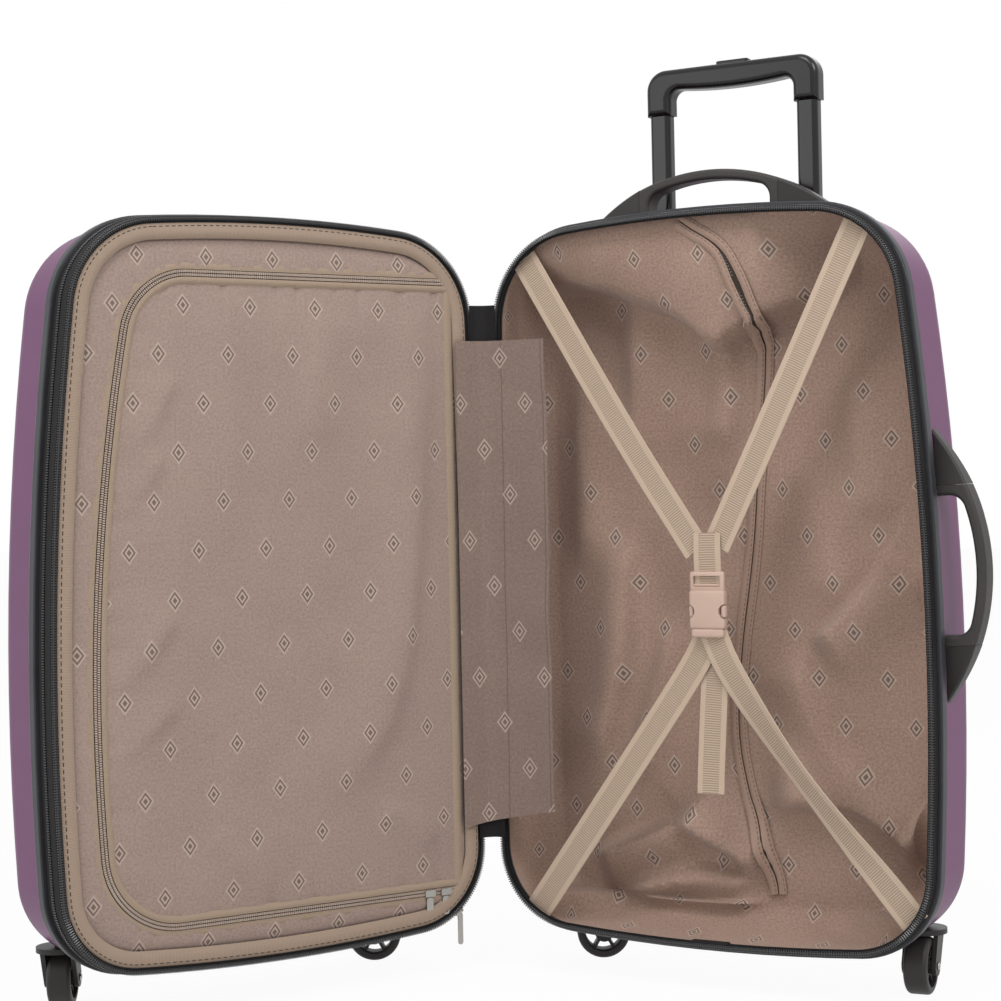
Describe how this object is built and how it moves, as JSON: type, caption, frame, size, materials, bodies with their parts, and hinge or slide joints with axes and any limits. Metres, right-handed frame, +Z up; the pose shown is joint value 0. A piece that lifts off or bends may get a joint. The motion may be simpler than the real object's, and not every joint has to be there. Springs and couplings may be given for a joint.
{
  "type": "hard shell spinner suitcase",
  "caption": "Hard shell suitcase standing open on spinner wheels, with a zipped divider, luggage straps, telescopic trolley handle, carry handles and an expander zip.",
  "frame": {"origin": "middle of the standing case's footprint, on the floor", "axes": "+Z up, +Y out of the rear half's back, +X from the hinge towards the rear half's opening side"},
  "size_m": [0.7591, 0.5046, 0.833],
  "materials": {
    "shell": "satin moulded polycarbonate",
    "rim": "extruded trim",
    "zip_tape": "woven tape",
    "zip_teeth": "nylon coil",
    "lining": "printed twill lining",
    "divider_zip": "nylon coil zip",
    "webbing": "ribbed webbing",
    "buckle": "moulded acetal",
    "zip_pull": "plated zinc",
    "tube": "black anodised",
    "grip": "moulded",
    "rod": "drawn",
    "handle": "soft moulded",
    "caster": "moulded nylon",
    "tyre": "moulded"
  },
  "bodies": {
    "rear_half": {"rear_shell": "shell", "rear_rim": "rim", "rear_zip_tape": "zip_tape", "rear_zip_teeth": "zip_teeth", "rear_lining": "lining", "trolley_outer_tubes": "tube", "trolley_bezel": "grip", "trolley_foot": "grip", "top_handle_base_left": "handle", "top_handle_base_right": "handle", "side_handle_base_upper": "handle", "side_handle_base_lower": "handle", "strap_upper_left": "webbing", "strap_upper_right": "webbing", "strap_lower_left": "webbing", "strap_lower_right": "webbing", "strap_keeper": "webbing", "strap_tail": "webbing", "buckle_socket": "buckle", "buckle_plug": "buckle", "caster_housing_rear_inner": "caster", "caster_housing_rear_outer": "caster", "hinge_web": "zip_tape", "hinge_flap": "lining"},
    "front_frame": {"front_zip_teeth": "zip_teeth", "front_zip_tape": "zip_tape", "expander_coil_inner": "zip_teeth", "divider_border": "lining", "divider_zip": "divider_zip", "divider_sliders": "zip_pull", "main_slider": "zip_teeth"},
    "front_case": {"front_shell": "shell", "front_rim": "rim", "expander_coil_outer": "zip_teeth", "expander_tape": "zip_tape", "expander_gusset": "zip_tape", "front_lining": "lining", "caster_housing_front_inner": "caster", "caster_housing_front_outer": "caster"},
    "divider_door": {"divider_door": "lining"},
    "divider_pull_left": {"divider_pull_left": "zip_pull"},
    "divider_pull_right": {"divider_pull_right": "zip_pull"},
    "main_pull": {"main_pull": "zip_teeth"},
    "trolley_middle": {"trolley_mid_tubes": "tube"},
    "trolley_inner": {"trolley_inner_tubes": "tube", "trolley_grip": "grip", "lock_plugs": "grip"},
    "release": {"release_button": "grip", "release_rods": "rod"},
    "top_handle": {"top_handle_grip": "handle"},
    "side_handle": {"side_handle_grip": "handle"},
    "caster_rear_inner": {"caster_fork_rear_inner": "caster"},
    "wheel_rear_inner": {"caster_wheel_rear_inner": "tyre"},
    "caster_rear_outer": {"caster_fork_rear_outer": "caster"},
    "wheel_rear_outer": {"caster_wheel_rear_outer": "tyre"},
    "caster_front_inner": {"caster_fork_front_inner": "caster"},
    "wheel_front_inner": {"caster_wheel_front_inner": "tyre"},
    "caster_front_outer": {"caster_fork_front_outer": "caster"},
    "wheel_front_outer": {"caster_wheel_front_outer": "tyre"}
  },
  "joints": [
    {"name": "case_hinge", "type": "hinge", "parent": "rear_half", "child": "front_frame", "pos_m": [-0.08687, 0.13429, 0.38], "axis": [0, 0, -1], "range_deg": [-116, 64], "deforming": ["hinge_web", "hinge_flap"]},
    {"name": "expander_slide", "type": "slide", "parent": "front_frame", "child": "front_case", "axis": [-0.8988, 0.4384, 0], "range_m": [0, 0.038], "deforming": ["expander_gusset"]},
    {"name": "divider_hinge", "type": "hinge", "parent": "front_frame", "child": "divider_door", "pos_m": [-0.10577, 0.10373, 0.38], "axis": [0, 0, 1], "range_deg": [0, 105]},
    {"name": "main_pull_swing", "type": "hinge", "parent": "front_frame", "child": "main_pull", "pos_m": [-0.10828, 0.10886, 0.05396], "axis": [-0.8988, 0.4384, 0], "range_deg": [-50, 50]},
    {"name": "trolley_middle_slide", "type": "slide", "parent": "rear_half", "child": "trolley_middle", "axis": [0, 0, 1], "range_m": [0, 0.19]},
    {"name": "trolley_inner_slide", "type": "slide", "parent": "trolley_middle", "child": "trolley_inner", "axis": [0, 0, 1], "range_m": [-0.146, 0.06]},
    {"name": "release_press", "type": "slide", "parent": "trolley_inner", "child": "release", "axis": [0, 0, -1], "range_m": [0, 0.003], "stiffness_N_per_m": 600, "springref_m": -0.002},
    {"name": "top_handle_pull", "type": "slide", "parent": "rear_half", "child": "top_handle", "axis": [0, 0, 1], "range_m": [0, 0.008], "stiffness_N_per_m": 400, "springref_m": -0.003},
    {"name": "side_handle_pull", "type": "slide", "parent": "rear_half", "child": "side_handle", "axis": [0.9992, 0, 0.0396], "range_m": [0, 0.008], "stiffness_N_per_m": 400, "springref_m": -0.003},
    {"name": "divider_pull_left_swing", "type": "hinge", "parent": "front_frame", "child": "divider_pull_left", "pos_m": [-0.11906, 0.07433, 0.07455], "axis": [-0.4384, -0.8988, 0], "range_deg": [0, 90]},
    {"name": "divider_pull_right_swing", "type": "hinge", "parent": "front_frame", "child": "divider_pull_right", "pos_m": [-0.1116, 0.08961, 0.07455], "axis": [-0.4384, -0.8988, 0], "range_deg": [0, 90]},
    {"name": "swivel_rear_inner", "type": "hinge", "parent": "rear_half", "child": "caster_rear_inner", "pos_m": [-0.03587, 0.22329, 0.056], "axis": [0, 0, 1], "continuous": true},
    {"name": "roll_rear_inner", "type": "hinge", "parent": "caster_rear_inner", "child": "wheel_rear_inner", "pos_m": [-0.02387, 0.2305, 0.025], "axis": [0.515, -0.8572, 0], "continuous": true},
    {"name": "swivel_rear_outer", "type": "hinge", "parent": "rear_half", "child": "caster_rear_outer", "pos_m": [0.29813, 0.22329, 0.056], "axis": [0, 0, 1], "continuous": true},
    {"name": "roll_rear_outer", "type": "hinge", "parent": "caster_rear_outer", "child": "wheel_rear_outer", "pos_m": [0.2996, 0.20936, 0.025], "axis": [-0.9945, -0.1045, 0], "continuous": true},
    {"name": "swivel_front_inner", "type": "hinge", "parent": "front_case", "child": "caster_front_inner", "pos_m": [-0.2045, 0.13492, 0.056], "axis": [0, 0, 1], "continuous": true},
    {"name": "roll_front_inner", "type": "hinge", "parent": "caster_front_inner", "child": "wheel_front_inner", "pos_m": [-0.2165, 0.12771, 0.025], "axis": [0.515, -0.8572, 0], "continuous": true},
    {"name": "swivel_front_outer", "type": "hinge", "parent": "front_case", "child": "caster_front_outer", "pos_m": [-0.35091, -0.16528, 0.056], "axis": [0, 0, 1], "continuous": true},
    {"name": "roll_front_outer", "type": "hinge", "parent": "caster_front_outer", "child": "wheel_front_outer", "pos_m": [-0.35812, -0.15328, 0.025], "axis": [-0.8572, -0.515, 0], "continuous": true}
  ]
}
